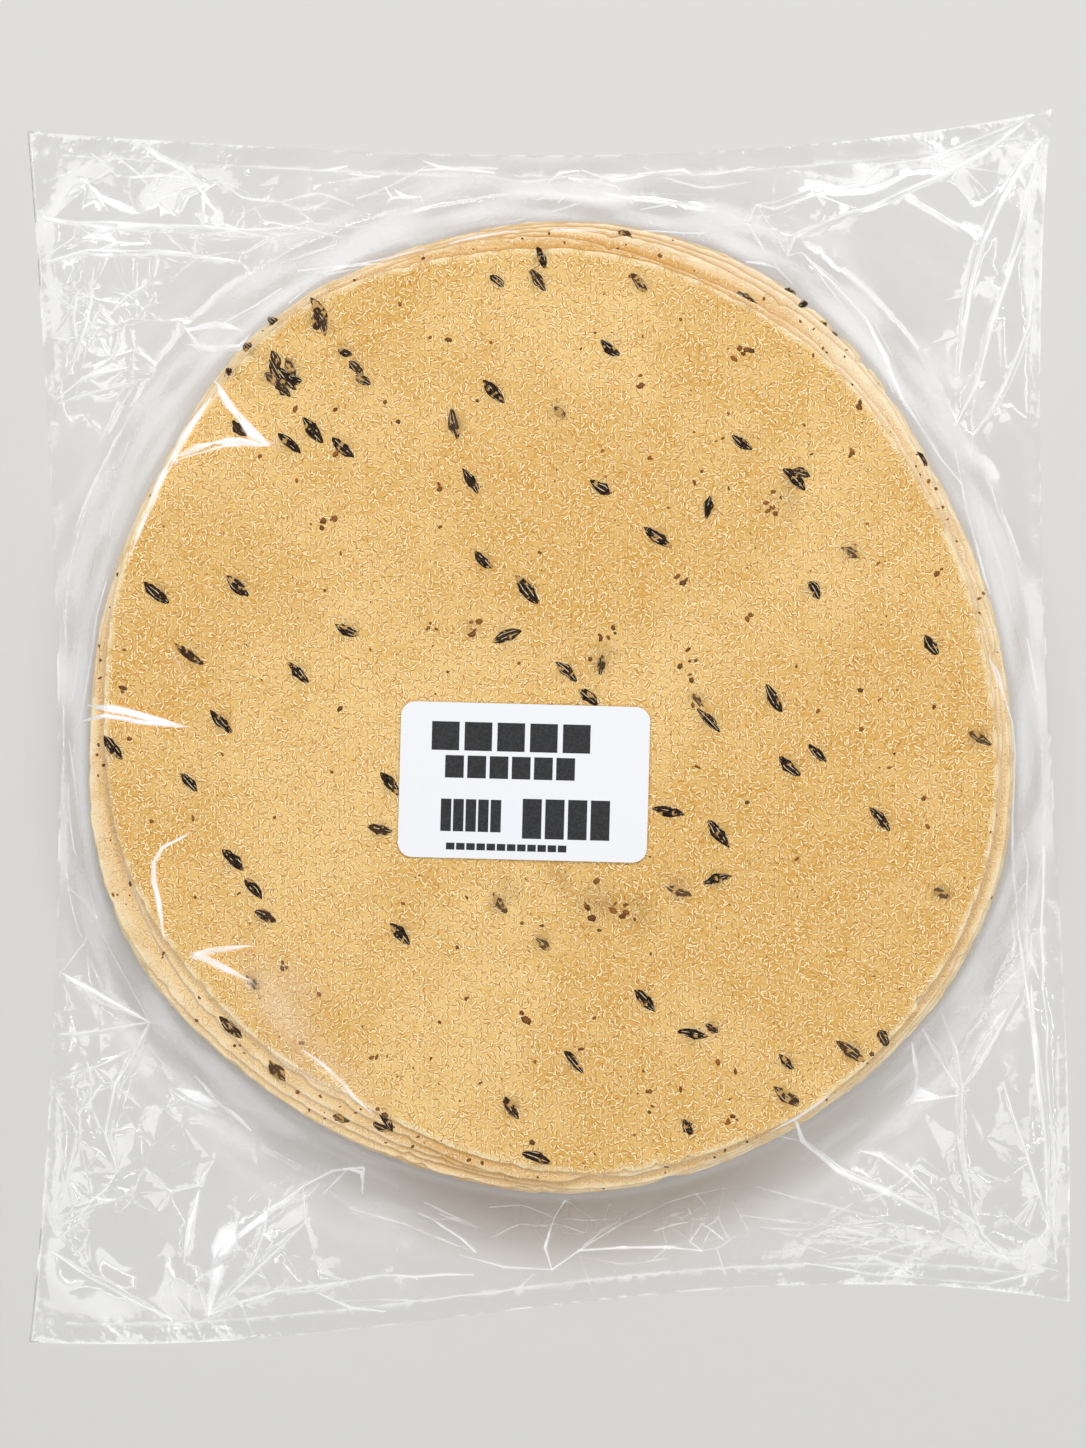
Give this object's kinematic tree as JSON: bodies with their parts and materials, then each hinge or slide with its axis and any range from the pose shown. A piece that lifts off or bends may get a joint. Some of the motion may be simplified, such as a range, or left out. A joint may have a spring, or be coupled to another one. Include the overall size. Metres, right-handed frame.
{
  "type": "sealed clear bag of cumin papads",
  "caption": "Round cumin papads stacked in a clear, creased, heat-sealed bag that lies flat, with a small white label on the front.",
  "frame": {"origin": "on the table, under the middle of the bag's outline", "axes": "+X to the right and +Y upwards as the label is read, +Z up from the table; the bag lies on its back"},
  "size_m": [0.171, 0.2024, 0.0135],
  "materials": {
    "papad": "dry golden lentil dough with a fine pale grain, dark cumin seeds and small red-brown flecks, matt",
    "rim": "cream, smoother rims of the papads below the top one, matt",
    "seed": "dark ridged cumin seed with pale ribs, slightly glossy",
    "fleck": "small red-brown husk flecks",
    "film": "thin clear crisp film, glossy, with sharp creases and a welded band at each end",
    "label": "smooth white paper, with plain black bars in place of the print",
    "print": "flat black ink"
  },
  "bodies": {
    "root": {"bag": "papad", "label": "label"}
  },
  "joints": []
}
